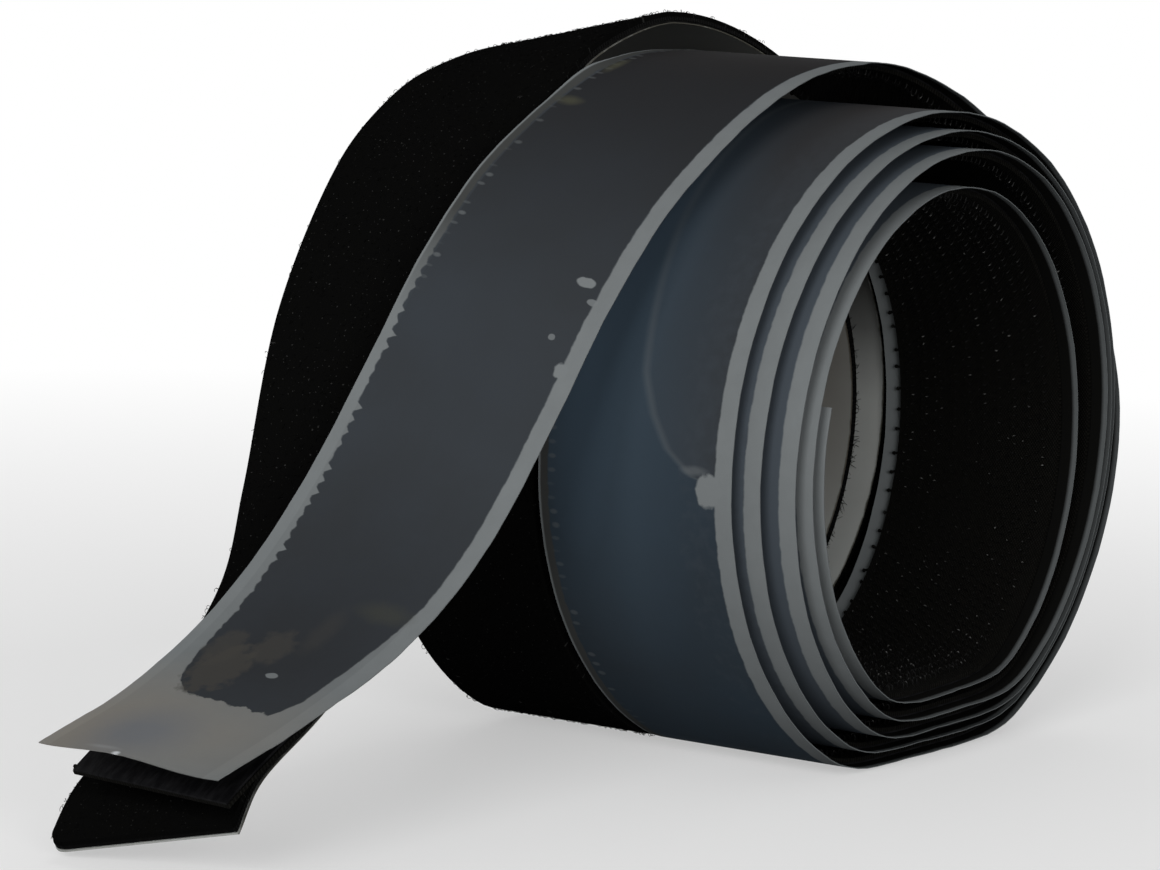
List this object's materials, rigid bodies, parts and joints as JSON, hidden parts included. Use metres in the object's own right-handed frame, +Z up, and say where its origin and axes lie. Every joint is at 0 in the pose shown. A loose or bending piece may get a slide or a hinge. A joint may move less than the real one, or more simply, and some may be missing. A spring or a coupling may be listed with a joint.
{
  "type": "hook and loop tape pair",
  "caption": "Pair of self-adhesive hook and loop tapes, each wound in a loose coil with a free tail running down in front, for sticking on as a closure that opens and shuts",
  "frame": {"origin": "on the floor, under the middle of the part's box", "axes": "+X along the coils' common axis, towards the hook coil's open side; -Y the way the tails run; +Z up"},
  "size_m": [0.0744, 0.173, 0.0928],
  "materials": {
    "clear_liner": "satin film, milky where it lies free",
    "paper_liner": "satin film with a warm cast",
    "adhesive": "smooth tacky layer",
    "woven_tape": "black woven nylon with a dense selvage",
    "hook_field": "black nylon hooks with fine glints",
    "loop_pile": "black brushed loop pile"
  },
  "bodies": {
    "hook_coil": {"hook_coil_liner": "clear_liner", "hook_coil_adhesive": "adhesive", "hook_coil_weave": "woven_tape", "hook_coil_hooks": "hook_field"},
    "loop_coil": {"loop_coil_liner": "paper_liner", "loop_coil_adhesive": "adhesive", "loop_coil_weave": "woven_tape", "loop_coil_pile": "loop_pile"},
    "hook_tail": {"hook_tail_liner": "clear_liner", "hook_tail_adhesive": "adhesive", "hook_tail_weave": "woven_tape", "hook_tail_hooks": "hook_field"},
    "loop_tail": {"loop_tail_liner": "paper_liner", "loop_tail_adhesive": "adhesive", "loop_tail_weave": "woven_tape", "loop_tail_pile": "loop_pile"},
    "hook_liner_flap": {"hook_liner_flap": "clear_liner"},
    "loop_liner_flap": {"loop_liner_flap": "paper_liner"}
  },
  "joints": [
    {"name": "loop_coil_slide", "type": "slide", "parent": "hook_coil", "child": "loop_coil", "axis": [-1, 0, 0], "range_m": [0, 0.06]},
    {"name": "loop_tail_lift", "type": "hinge", "parent": "loop_coil", "child": "loop_tail", "pos_m": [-0.02491, 0.03668, 0.09019], "axis": [-0.9744, 0, -0.225], "range_deg": [0, 35]},
    {"name": "hook_tail_lift", "type": "hinge", "parent": "hook_coil", "child": "hook_tail", "pos_m": [0.00339, 0.03818, 0.08775], "axis": [-1, 0, 0], "range_deg": [0, 35]},
    {"name": "hook_liner_peel", "type": "hinge", "parent": "hook_tail", "child": "hook_liner_flap", "pos_m": [0.00339, -0.05704, 0.02324], "axis": [-0.9975, 0.0503, 0.0492], "range_deg": [0, 110]},
    {"name": "loop_liner_peel", "type": "hinge", "parent": "loop_tail", "child": "loop_liner_flap", "pos_m": [-0.00516, -0.05797, 0.01273], "axis": [0.9789, 0.1246, 0.1619], "range_deg": [0, 70]}
  ],
  "couplings": [
    {"joint": "hook_tail_lift", "follows": "loop_tail_lift", "ratio": 1}
  ]
}
